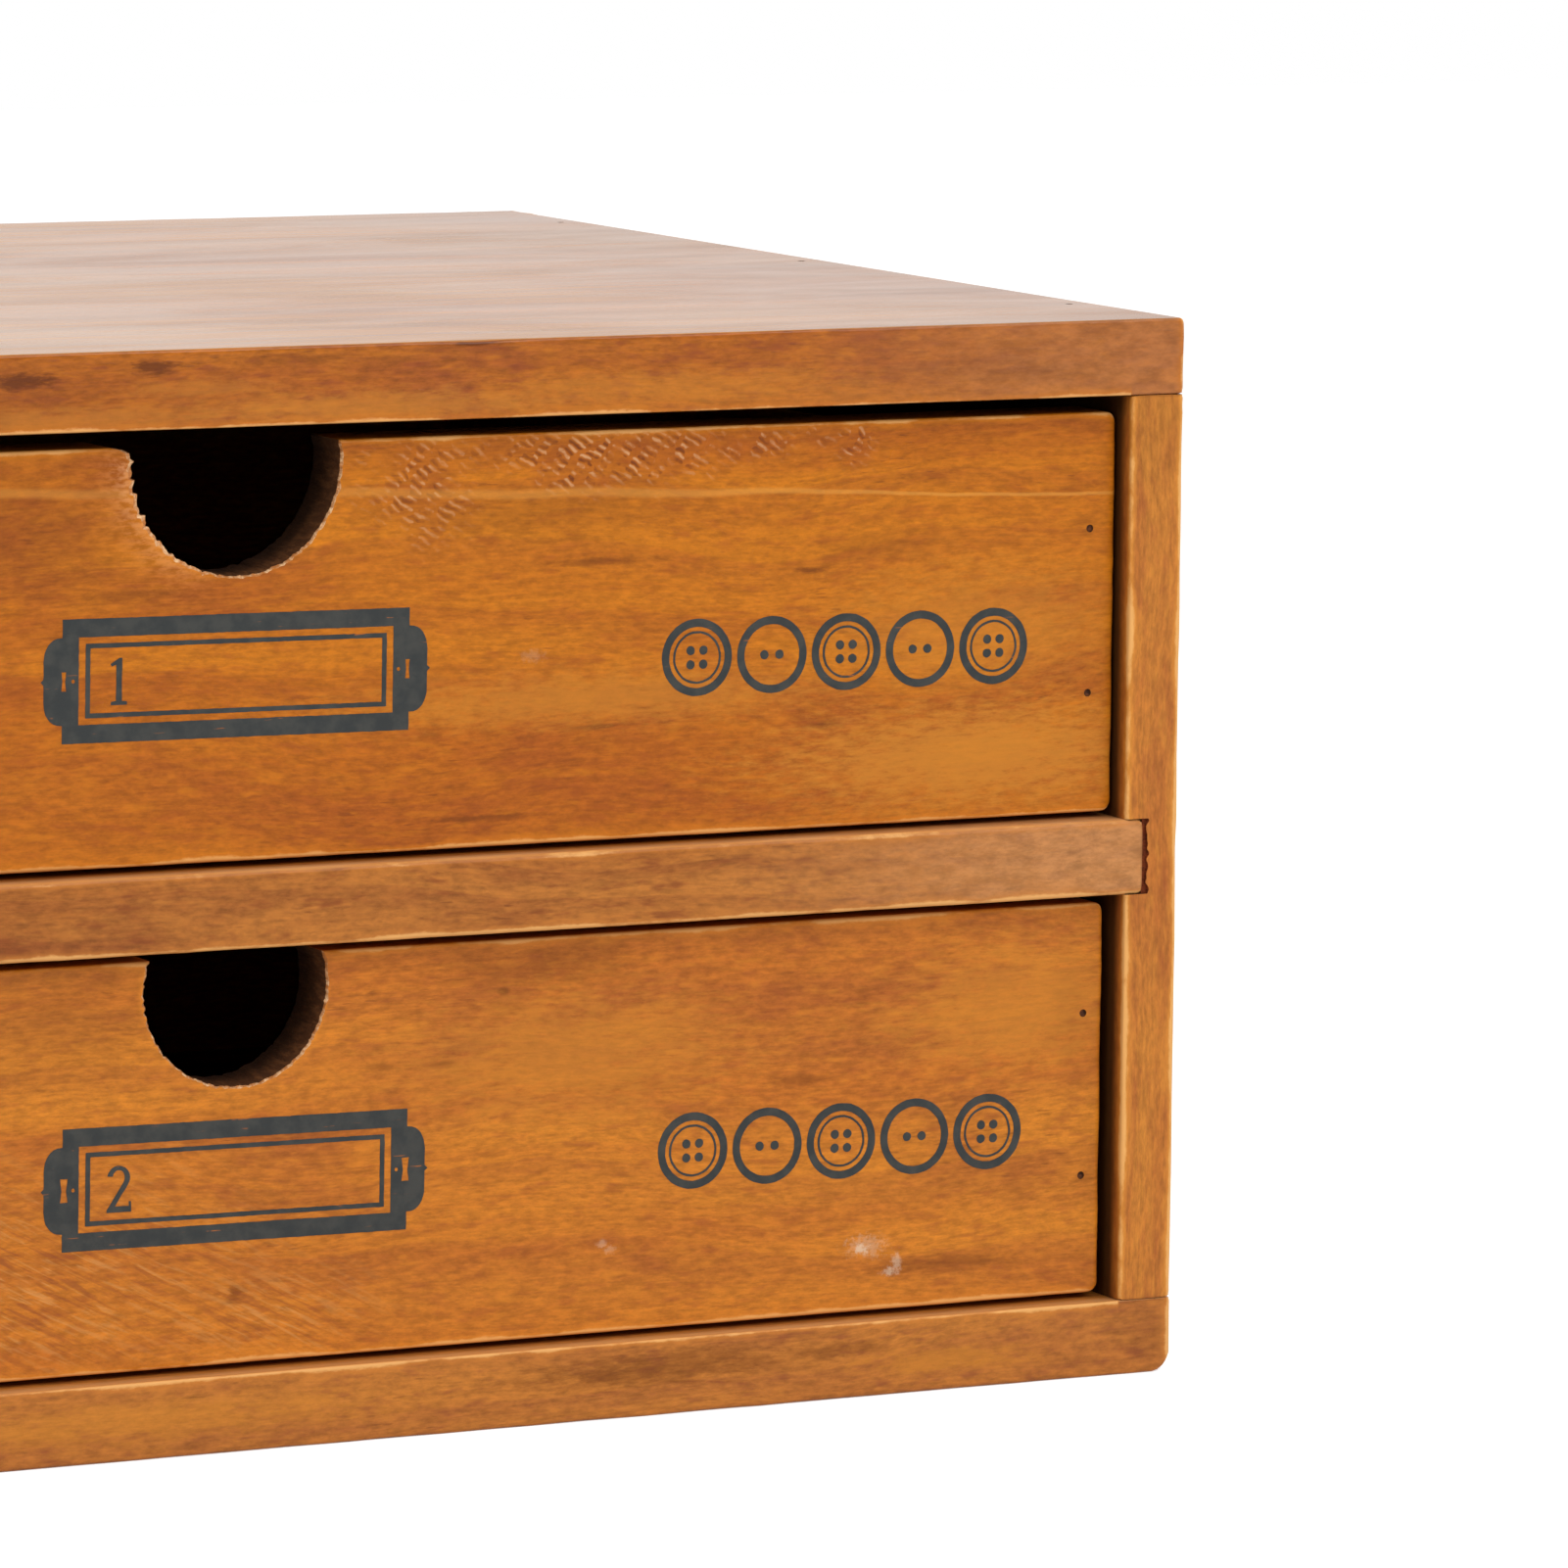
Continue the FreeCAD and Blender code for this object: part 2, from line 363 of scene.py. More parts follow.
def brad_heads_both_sides(node):
    """Heads of brads driven inwards from both sides along X."""
    heads = []
    for outward in ("x-", "x+"):
        level = Box(node).face(outward)
        for place in brad_heads(node, outward):
            heads.append(Vector((level, place[1], place[2])))
    return heads


# Materials

class Output:
    """A node's output. Sums, products and the methods add further nodes behind it."""

    def __init__(self, shader, socket):
        self.shader, self.socket = shader, socket

    def __add__(self, other):
        return self.shader.math("ADD", self, other)

    def __radd__(self, other):
        return self.shader.math("ADD", other, self)

    def __sub__(self, other):
        return self.shader.math("SUBTRACT", self, other)

    def __mul__(self, other):
        return self.shader.math("MULTIPLY", self, other)

    def __truediv__(self, other):
        return self.shader.math("DIVIDE", self, other)

    def tint(self, factor, other):
        """This colour, and the other colour over it as strongly as the factor."""
        return self.shader.mix(factor, self, other)

    def ramp(self, low, high, start=0.0, end=1.0):
        """Smooth step from start to end, as the value goes from low to high."""
        inputs = {"Value": self, "From Min": low, "From Max": high, "To Min": start, "To Max": end}
        return self.shader.output("MapRange", inputs, interpolation_type="SMOOTHSTEP")


def feed(tree, socket, value):
    """Links or sets a socket. Colours are given without their alpha."""
    value = value.socket if isinstance(value, Output) else value
    if isinstance(value, bpy.types.NodeSocket):
        tree.links.new(value, socket)
    else:
        socket.default_value = (*value, 1) if socket.type == "RGBA" else value


class Shader:
    """A material's node tree, with short calls that add a node and return its output."""

    def __init__(self, name):
        self.material = bpy.data.materials.new(name)
        self.material.use_nodes = True
        self.tree = self.material.node_tree
        self.surface = self.tree.nodes["Principled BSDF"]
        coordinates = self.add("TexCoord")
        self.place, self.normal = coordinates.outputs["Object"], coordinates.outputs["Normal"]

    def add(self, kind, inputs=(), **settings):
        node = self.tree.nodes.new("ShaderNode" + kind)
        for key, value in settings.items():
            setattr(node, key, value)
        for key, value in dict(inputs).items():
            feed(self.tree, node.inputs[key], value)
        return node

    def output(self, kind, inputs=(), output=0, **settings):
        return Output(self, self.add(kind, inputs, **settings).outputs[output])

    def math(self, operation, a, b=0.0):
        return self.output("Math", {0: a, 1: b}, operation=operation)

    def vector(self, operation, a, b=(0, 0, 0)):
        wanted = "Value" if operation in ("LENGTH", "DOT_PRODUCT") else "Vector"
        return self.output("VectorMath", {0: a, 1: b}, wanted, operation=operation)

    def mix(self, factor, a, b):
        """Colour a, and b over it as strongly as the factor."""
        return self.output("Mix", {0: factor, 6: a, 7: b}, 2, data_type="RGBA")

    def noise(self, frequency, seed, detail=2.0, roughness=0.5, distortion=0.0):
        """Noise with one frequency per metre, or one for each axis."""
        if not isinstance(frequency, tuple):
            frequency = (frequency,) * 3
        place = self.output("Mapping", {"Vector": self.place, "Scale": frequency,
                                        "Location": (seed, seed * 1.3, seed * -0.7)})
        inputs = {"Vector": place, "Scale": 1.0, "Detail": detail, "Roughness": roughness,
                  "Distortion": distortion}
        return self.output("TexNoise", inputs)

    def attribute(self, name):
        return self.output("Attribute", output="Fac", attribute_name=name)

    def scaled(self, colour, factor):
        return self.output("VectorMath", {0: colour, "Scale": factor}, operation="SCALE")

    def facing(self, direction, start, end, low=0.0, high=1.0):
        """From low to high as the surface turns towards the direction."""
        turned = self.vector("DOT_PRODUCT", self.normal, direction)
        return turned.ramp(start, end, low, high)

    def part(self, axis, place=None):
        """How far along one axis the place is."""
        return self.output("SeparateXYZ", {0: place or self.place}, axis)

    def tilted(self, degrees, sizes):
        """Place in a front face's plane, turned down to the right and divided by sizes in mm."""
        inputs = {"Vector": self.place, "Rotation": (0, math.radians(degrees), 0),
                  "Scale": tuple(size * MM for size in sizes)}
        return self.output("Mapping", inputs, vector_type="TEXTURE")

    def spots(self, places, ragged):
        """Mask of ragged spots on a front face: x, z, half width, half height (mm), strength."""
        mask = 0.0
        for x, z, width, height, strength in places:
            scale = (1 / (width * MM), 0, 1 / (height * MM))
            inputs = {0: self.place, 1: scale, 2: (-x / width, 0, -z / height)}
            away = self.output("VectorMath", inputs, operation="MULTIPLY_ADD")
            away = self.vector("LENGTH", away) + ragged
            mask = self.math("MAXIMUM", mask, away.ramp(1.5, 0.25, 0.0, strength))
        return mask * self.facing((0, -1, 0), 0.6, 0.9)

    def bump(self, height, distance, strength=1.0):
        inputs = {"Height": height, "Distance": distance, "Strength": strength}
        return self.output("Bump", inputs)

    def finish(self, colour, roughness, normal, specular):
        inputs = {"Base Color": colour, "Roughness": roughness, "Normal": normal,
                  "Specular IOR Level": specular}
        for key, value in inputs.items():
            feed(self.tree, self.surface.inputs[key], value)
        return self.material


@dataclass
class Stain:
    """How one board is stained and lacquered.

    axis is the one that the fibres follow, and pith is the pith's place on the other two axes.
    rings, grain and contrast are how strongly growth rings, small grain and blotches show, and
    drift is how far the rings stray. inner is the direction that the board's inside face
    looks in: that face gets painted shade. dark_spots, light_spots and scuffs are marks of this one
    board, as rows for Shader.spots. extra(shader, colour, height) adds further marks.
    """

    axis: str
    seed: float
    pith: tuple = (0.09, 0.11)
    colours: tuple = (HONEY, AMBER, RUSSET)
    gloss: float = 0.27
    specular: float = 0.2
    inner: tuple = ()
    ring_width: float = 6.0 * MM
    rings: float = 0.24
    contrast: float = 1.0
    drift: float = 20 * MM
    grain: float = 1.0
    dark_spots: tuple = ()
    light_spots: tuple = ()
    scuffs: tuple = ()
    extra: object = None


def wood(name, stain):
    """Stained and lacquered wood, with its growth rings round a pith line along the grain."""
    shader = Shader(name)
    axis = "xyz".index(stain.axis)
    seed = stain.seed
    light, mid, dark = stain.colours

    def along(length_wise, across):
        return tuple(length_wise if index == axis else across for index in range(3))

    centre = list(stain.pith)
    centre.insert(axis, 0.0)
    straight = shader.place
    drift = (shader.noise(along(7, 15), seed + 1) - 0.5) * stain.drift
    drift = shader.output("CombineXYZ", {index: drift for index in range(3) if index != axis})
    shader.place = shader.vector("ADD", straight, drift)
    across = shader.vector("MULTIPLY", shader.place, along(0.0, 1.0))
    from_pith = shader.vector("SUBTRACT", across, tuple(centre))
    ring = shader.math("FRACT", shader.vector("LENGTH", from_pith) / stain.ring_width)
    late_wood = ring.ramp(0.3, 0.97) * ring.ramp(1.0, 0.95)

    band = shader.noise(along(4, 75), seed + 3, 3.0, 0.55)
    blotch = shader.noise(along(15, 45), seed + 5, 4.0, 0.62, 0.6)
    fibre = shader.noise(along(180, 2100), seed + 7, 3.0, 0.6)
    mottle = shader.noise(along(420, 1100), seed + 9, 3.0, 0.7)
    fleck_field = shader.noise(along(24, 80), seed + 11).ramp(0.5, 0.66)
    fleck = fleck_field * shader.noise(along(260, 1700), seed + 13, 1.0).ramp(0.64, 0.74)

    colour = shader.mix(band.ramp(0.32, 0.68), mid, light)
    colour = colour.tint(blotch.ramp(0.47, 0.76, 0.0, 0.6 * stain.contrast), dark)
    end_on = shader.math("ABSOLUTE", shader.vector("DOT_PRODUCT", shader.normal, along(1.0, 0.0)))
    end_grain = end_on.ramp(0.75, 0.95)
    colour = colour.tint(late_wood * (stain.rings + end_grain * 0.4), dark)
    speck = shader.noise(along(170, 640), seed + 19, 2.0, 0.6)
    shade = fibre.ramp(0.25, 0.75, 0.82, 1.05) + mottle.ramp(0.25, 0.75, -0.18, 0.21)
    colour = shader.scaled(colour, shade)
    amount = 0.42 * stain.grain
    colour = colour.tint(speck.ramp(0.51, 0.76, 0.0, amount), dark)
    colour = colour.tint(speck.ramp(0.47, 0.24, 0.0, amount), shader.scaled(light, 1.12))
    colour = colour.tint(fleck * 0.35, UMBER)
    colour = colour.tint(end_grain * 0.3, dark)

    shader.place = straight
    ragged = (shader.noise(along(230, 1000), seed + 15, 4.0, 0.75) - 0.5) * 3.0
    if stain.dark_spots:
        colour = colour.tint(shader.spots(stain.dark_spots, ragged), DARK_STREAK)
    if stain.light_spots:
        colour = colour.tint(shader.spots(stain.light_spots, ragged), GOLDEN)
    height = fibre * 0.5 + mottle * 0.6 - fleck * 0.6 + shader.attribute("torn") * (speck * 3.0)
    if stain.extra:
        colour, height = stain.extra(shader, colour, height)
    if stain.scuffs:
        fuzzy = (shader.noise(1400, seed + 23, 3.0, 0.7) - 0.5) * 3.4
        colour = colour.tint(shader.spots(stain.scuffs, fuzzy), SCUFFED)

    torn = shader.attribute("torn") * mottle.ramp(0.4, 0.6)
    colour = colour.tint(torn * 0.9, TORN_FIBRES)
    # Pale halo and line along the arrises: partly worn stain, partly painted highlight for light on
    # the rounded arrises
    chance = (mottle - 0.5) * 0.9
    patchy = shader.noise(50, seed + 17, 3.0, 0.6).ramp(0.35, 0.65, -0.34, 0.16)
    rubbed_and_lit = shader.attribute("wear_and_highlight") + patchy
    halo = (rubbed_and_lit + chance * 0.3).ramp(0.05, 0.75)
    bare_and_lit = (rubbed_and_lit + chance * 0.7).ramp(0.6, 1.0)
    colour = colour.tint(halo * 0.6, shader.scaled(light, 1.2))
    colour = colour.tint(bare_and_lit * 0.62, WORN_AND_LIT)
    grime = shader.attribute("grime").ramp(0.45, 0.95)
    colour = colour.tint(grime * 0.35, UMBER)
    # Painted shade: faces that look inwards are darkened, more so deeper behind the cabinet's face
    if stain.inner:
        deep = shader.part("Y").ramp(CABINET_FACE + 0.8 * MM, CABINET_FACE + 3.8 * MM, 0.3, 0.94)
        colour = colour.tint(shader.facing(stain.inner, 0.55, 0.95) * deep, SHADOW)

    roughness = blotch.ramp(0.3, 0.75, stain.gloss, stain.gloss + 0.08) + bare_and_lit * 0.15
    return shader.finish(colour, roughness, shader.bump(height, 0.05 * MM, 0.6), stain.specular)


def cut_wood(name, colour, pale, front=None):
    """Unsanded faces inside a saw cut: coarse, dull and soaked with stain.

    Through a drawer front, whose face is at front along Y, they get painted shade, darker
    towards the inside.
    """
    shader = Shader(name)
    coarse = shader.noise((900, 260, 900), 1.0, 4.0, 0.7)
    fine = shader.noise((2600, 700, 2600), 2.0, 3.0, 0.6)
    shade = shader.mix(coarse.ramp(0.4, 0.7), colour, pale)
    if front is not None:
        # Painted shade, darker deeper into the notch
        depth = shader.part("Y").ramp(front + 1 * MM, front + 9 * MM, 0.0, 0.8)
        shade = shade.tint(depth, NOTCH_SHADE)
    return shader.finish(shade, fine.ramp(0.3, 0.7, 0.55, 0.8),
                         shader.bump(coarse + fine * 0.5, 0.25 * MM), 0.1)


def print_ink(name):
    """Dark screen-print ink, thin enough to show the fibres under it."""
    shader = Shader(name)
    fibre = shader.noise((120, 900, 2200), 21.0, 3.0, 0.6)
    blot = shader.noise(330, 22.0, 3.0, 0.6)
    colour = shader.mix(blot.ramp(0.35, 0.7), INK, THIN_INK)
    pinhole = fibre.ramp(0.66, 0.74) * blot.ramp(0.5, 0.62)
    colour = colour.tint(pinhole * 0.8, AMBER)
    return shader.finish(colour, fibre.ramp(0.3, 0.7, 0.38, 0.5),
                         shader.bump(fibre, 0.05 * MM, 0.6), 0.4)


def stained_steel(name):
    """Small brads, soaked with the same stain as the wood round them."""
    shader = Shader(name)
    spots = shader.noise(1500, 5.0, 3.0, 0.6)
    colour = shader.mix(spots.ramp(0.4, 0.65), (0.06, 0.026, 0.016), (0.16, 0.056, 0.026))
    shader.surface.inputs["Metallic"].default_value = 0.1
    return shader.finish(colour, spots.ramp(0.3, 0.7, 0.7, 0.9), shader.bump(spots, 0.05 * MM), 0.1)


CUT = cut_wood("cut_wood", CUT_WOOD, (0.1, 0.034, 0.012))
NOTCH = cut_wood("notch_wood", (0.078, 0.03, 0.012), (0.16, 0.062, 0.022), DRAWER_FACE)
TORN = cut_wood("torn_wood", RAW_WOOD, RAW_FIBRES)
GLUED = cut_wood("glued_gap", (0.2, 0.04, 0.012), (0.07, 0.016, 0.006))


# Marks of single boards

def painted_sheen_top(shader, colour, height):
    """Painted sheen: the top's up-facing face is painted pale in place of its glossy reflection,
    most on its left.
    """
    upward = shader.facing((0, 0, 1), 0.7, 0.98)
    uneven = shader.noise((9, 14, 9), 71.0, 3.0).ramp(0.3, 0.7, 0.4, 0.75)
    sheen = colour.tint(uneven, (0.585, 0.245, 0.032))
    across = shader.part("X")
    for start, end, strength, tone in ((90, -120, 0.6, (0.64, 0.305, 0.075)),
                                       (80, 160, 0.4, (0.28, 0.1, 0.02))):
        sheen = sheen.tint(across.ramp(start * MM, end * MM, 0.0, strength), tone)
    streaks = shader.noise((4, 110, 0), 73.0, 5.0, 0.65).ramp(0.3, 0.7, 0.8, 1.1)
    sheen = shader.scaled(sheen, streaks)
    front = pale_end(shader, colour, 75, 160, (0.42, 0.16, 0.05))
    return shader.mix(upward, front, sheen), height


def pale_end(shader, colour, start, end, pale):
    """Greyer wood towards the right end of a front edge, from start to end in millimetres."""
    mottle = shader.noise((210, 300, 520), 76.0, 4.0, 0.75).ramp(0.3, 0.7, 0.66, 1.24)
    here = shader.part("X").ramp(start * MM, end * MM, 0.0, 0.6)
    return colour.tint(here, shader.scaled(pale, mottle))


def shelf_edge(shader, colour, height):
    """The shelf's ledge is painted pale as if lit, and its front edge is greyer at the right end.
    """
    return worn_ledge(shader, pale_end(shader, colour, 70, 150, (0.58, 0.27, 0.1)), height)


def worn_ledge(shader, colour, height):
    """Painted light: the narrow ledge in front of a closed drawer is painted pale near its front.
    """
    near = shader.part("Y").ramp(DRAWER_FACE + 0.5 * MM, DRAWER_FACE - 3 * MM, 0.0, 0.55)
    ledge = shader.facing((0, 0, 1), 0.5, 0.9) * near
    return colour.tint(ledge, (0.86, 0.48, 0.2)), height


def crossing_grain(shader, colour, height):
    """Fibres that rise out of the face near a knot, on the lower left of the lower front."""
    streak = shader.output("TexNoise", {"Vector": shader.tilted(27, (7, 2, 0.72)), "Scale": 1.0,
                                        "Detail": 3.0, "Distortion": 0.4})
    ragged = shader.noise(40, 72.0)
    region = shader.spots(((-45, 28, 70, 26, 1.0), (5, 20, 34, 12, 0.7)), ragged)
    lines = region * streak.ramp(0.5, 0.66)
    pale = region * streak.ramp(0.48, 0.34)
    colour = colour.tint(lines * 0.75, (0.25, 0.06, 0.018))
    colour = colour.tint(pale * 0.62, (0.66, 0.32, 0.1))
    return colour, height - lines


def saw_marks(shader, colour, height):
    """Chatter of a coarse blade along the upper edge, with painted glints and shadows, and one pale
    growth ring that runs across.
    """
    rough = (shader.noise((190, 190, 260), 31.0, 3.0, 0.6) - 0.5) * 1.9
    region = shader.spots(((31, 145.5, 8, 8, 0.75), (46, 150.5, 9, 3, 0.6),
                           (57, 149.8, 10, 5.5, 1.0), (71, 149.5, 10, 5, 1.0),
                           (86, 151, 8, 3.4, 0.8), (98, 151.5, 6, 1.8, 0.6),
                           (104.8, 150, 3, 3.4, 1.0)), rough)

    def waves(degrees, pitch, bent, seed):
        """Bent sine waves across the face, a pitch in millimetres apart."""
        bend = shader.noise(170, seed, 3.0, 0.65) * bent
        across = shader.part("Z", shader.tilted(degrees, (pitch, pitch, pitch)))
        return shader.math("SINE", across * math.tau + bend)

    breaks = waves(-42, 3.3, 19.0, 35.0).ramp(-0.85, 0.1)
    dabs = waves(34, 1.45, 10.0, 33.0) * breaks
    strength = region * shader.noise(260, 37.0, 4.0, 0.65).ramp(0.38, 0.56, 0.12)
    # Painted highlight on the crests and painted shadow in the dips
    glint = strength * dabs.ramp(0.25, 0.95)
    dip_shadow = strength * dabs.ramp(-0.1, -0.75)
    colour = colour.tint(region * 0.36, RUSSET)
    colour = colour.tint(dip_shadow * 0.75, (0.13, 0.026, 0.006))
    colour = colour.tint(glint * 0.6, (0.72, 0.42, 0.21))
    height = height + strength * dabs

    x, z = shader.part("X"), shader.part("Z")
    line = z + shader.noise((30, 0, 0), 41.0, 4.0) * (2.2 * MM) + x * 0.034
    away = shader.math("ABSOLUTE", line - 146.8 * MM)
    away = away / x.ramp(55 * MM, 120 * MM, 1.1 * MM, 0.42 * MM)
    vein = away.ramp(1.0, 0.2) * x.ramp(20 * MM, 110 * MM, 0.28, 0.42)
    return colour.tint(vein, (0.76, 0.34, 0.06)), height


# Cabinet

EDGE_COLOURS = ((0.465, 0.137, 0.008), (0.375, 0.095, 0.008), (0.24, 0.05, 0.012))
# The bottom and shelf colours are stain tone with a painted reflection of the pale floor: greener
# and bluer
BOTTOM_COLOURS_WITH_FLOOR_REFLECTION = ((0.51, 0.18, 0.028), (0.41, 0.128, 0.026), (0.25, 0.064, 0.024))
SHELF_COLOURS_WITH_FLOOR_REFLECTION = ((0.46, 0.16, 0.027), (0.35, 0.103, 0.015), (0.21, 0.049, 0.012))
SIDE_COLOURS = ((0.6, 0.235, 0.032), (0.51, 0.17, 0.026), (0.31, 0.07, 0.02))
FACE_ARRIS = 1.0  # millimetres
FOOT_ARRIS = 3.4
NOTCH_DEPTH = 20 * MM


def carcass_boards():
    def board(name, stain, *args, **more):
        materials = [wood(name + "_stain", stain), CUT, GLUED]
        return Board(name + "_wood", name, materials, *args, **more)

    corners = dict.fromkeys(("x-y-", "x-y+", "x+y-", "x+y+"), FACE_ARRIS)
    half_opening = Box("right_side_board").face("x-") / MM
    top = board("top_board", Stain(
        "x", 11.0, (-0.05, 0.34), EDGE_COLOURS, gloss=0.2, specular=0.3, inner=(0, 0, -1),
        rings=0.16, contrast=1.25, drift=8 * MM, grain=1.6, extra=painted_sheen_top,
        dark_spots=((-36, 163.9, 6, 1.2, 0.9), (-15.2, 165.4, 3.5, 1.1, 0.9),
                    (-50, 161, 40, 5, 0.22), (37, 167.6, 5, 0.5, 0.9), (-64, 160, 9, 1.3, 0.6),
                    (128, 160.5, 16, 2.0, 0.3), (8, 166, 9, 0.7, 0.4)),
        light_spots=((20, 158.5, 34, 2.2, 0.42), (-30, 158, 26, 1.8, 0.35), (70, 160, 30, 2.4, 0.3),
                     (-8, 162, 12, 1.4, 0.3))),
        {**corners, "y-z+": 0.6, "y+z+": FACE_ARRIS, "x-z+": FACE_ARRIS, "x+z+": FACE_ARRIS},
        ["x-z-", "x+z-"], worn={"y-z+": 0.0, "x+y-": 0.7}, seams={"y-z-": half_opening},
        chips=(((110.5, -125, 168), 0.9, 0.6), ((37, -125, 168), 1.6, 0.4)), seed=1)
    bottom = board("bottom_board", Stain(
        "x", 23.0, (-0.21, -0.06), BOTTOM_COLOURS_WITH_FLOOR_REFLECTION, contrast=1.1, grain=1.4, extra=worn_ledge,
        dark_spots=((70, 7.5, 22, 2.6, 0.5), (60, 7.0, 6, 1.2, 0.6), (100, 8.0, 9, 1.2, 0.4),
                    (157, 6, 7, 5, 0.25)),
        light_spots=((-20, 6, 40, 3.0, 0.4), (120, 5, 14, 2.0, 0.5))),
        {**corners, "y-z-": FACE_ARRIS, "y+z-": FACE_ARRIS, "x-z-": FOOT_ARRIS, "x+z-": FOOT_ARRIS},
        ["x-z+", "x+z+"], worn={"y-z-": 0.15, "x+z-": 0.2}, seams={"y-z+": half_opening}, seed=2)
    shelf = board("shelf", Stain(
        "x", 37.0, (-0.22, 0.0), SHELF_COLOURS_WITH_FLOOR_REFLECTION, contrast=1.35, rings=0.3, ring_width=3.5 * MM,
        grain=1.6, extra=shelf_edge),
        {"y-z-": 0.8, "y-z+": 1.0}, ["x-y-", "x+y-", "x-z-", "x-z+", "x+z-", "x+z+"],
        worn={"y-z-": 1.1, "y-z+": 0.75}, seed=3)
    sides = {}
    for side, outer, inner, sign in (("left", "x-", "x+", 1), ("right", "x+", "x-", -1)):
        sides[side] = board(f"{side}_side_board", Stain(
            "z", 60.0 + 7 * sign, (0.1, -0.2), SIDE_COLOURS, inner=(sign, 0, 0), contrast=0.8,
            dark_spots=((155, 151, 9, 10, 0.2),)),
            {outer + "y-": FACE_ARRIS, outer + "y+": FACE_ARRIS, inner + "y-": 0.9},
            [face + end for face in (outer, inner, "y-", "y+") for end in ("z-", "z+")],
            worn={outer + "y-": 1.2, inner + "y-": 1.0}, seed=4 + (sign < 0))
    return top, bottom, shelf, sides


def cut_shelf_slot(side_board, shelf, inward):
    """Slot for the shelf's end, whose rough bottom shows as a broken dark line."""
    end = shelf.box.face("x+" if inward < 0 else "x-")
    low, high = shelf.box.low, shelf.box.high
    start, stop = end + inward * 8 * MM, end - inward * 0.1 * MM
    side_board.cut_box((min(start, stop), low[1] - 2 * MM, low[2]),
                       (max(start, stop), high[1] + 1 * MM, high[2]))
    axes = [np.array(sorted((start, stop))),
            np.linspace(low[1] - 2 * MM, low[1] + 0.6 * MM, 5), np.linspace(low[2], high[2], 40)]
    points, quads = box_surface(axes)
    deep = np.abs(points[:, 0] - stop) < 1e-9
    heights = points * np.array((1, 0.5, 1))
    uneven = 0.62 + 0.6 * wobble(heights, 260, 9) + 0.5 * wobble(heights, 1100, 10)
    corner = np.minimum(points[:, 2] - low[2], high[2] - points[:, 2])
    uneven += 0.35 * np.exp(-(corner / (1.5 * MM)) ** 2)
    points[deep, 0] -= inward * np.clip(uneven, 0, 1.2)[deep] * MM
    side_board.cut(points, quads, 2)


def cabinet():
    top, bottom, shelf, sides = carcass_boards()
    veneer = Stain("x", 83.0, (0.3, 0.06), ring_width=11 * MM, gloss=0.5)
    panel = Board("back_panel_wood", "back_panel", [wood("back_panel_veneer", veneer), CUT], seed=6)
    for each in (top, bottom, *sides.values()):
        each.cut_box(panel.box.low - np.array((0.2, 0, 0.2)) * MM,
                     panel.box.high + np.array((0.2, 2, 0.2)) * MM)
    cut_shelf_slot(sides["left"], shelf, 1)
    cut_shelf_slot(sides["right"], shelf, -1)

    top.punch(brad_heads("top_board_brads", "z+"), (0, 0, -1))
    bottom.punch(brad_heads("bottom_board_brads", "z-"), (0, 0, 1))
    panel.punch(brad_heads("back_panel_brads", "y+"), (0, -1, 0))
    for head in brad_heads_both_sides("shelf_brads"):
        side = "right" if head[0] > 0 else "left"
        sides[side].punch([head], (-1 if head[0] > 0 else 1, 0, 0))

    for each in (top, bottom, shelf, *sides.values()):
        each.finish("cabinet", "cabinet_boards")
    panel.finish("cabinet", "plywood")


# Drawers

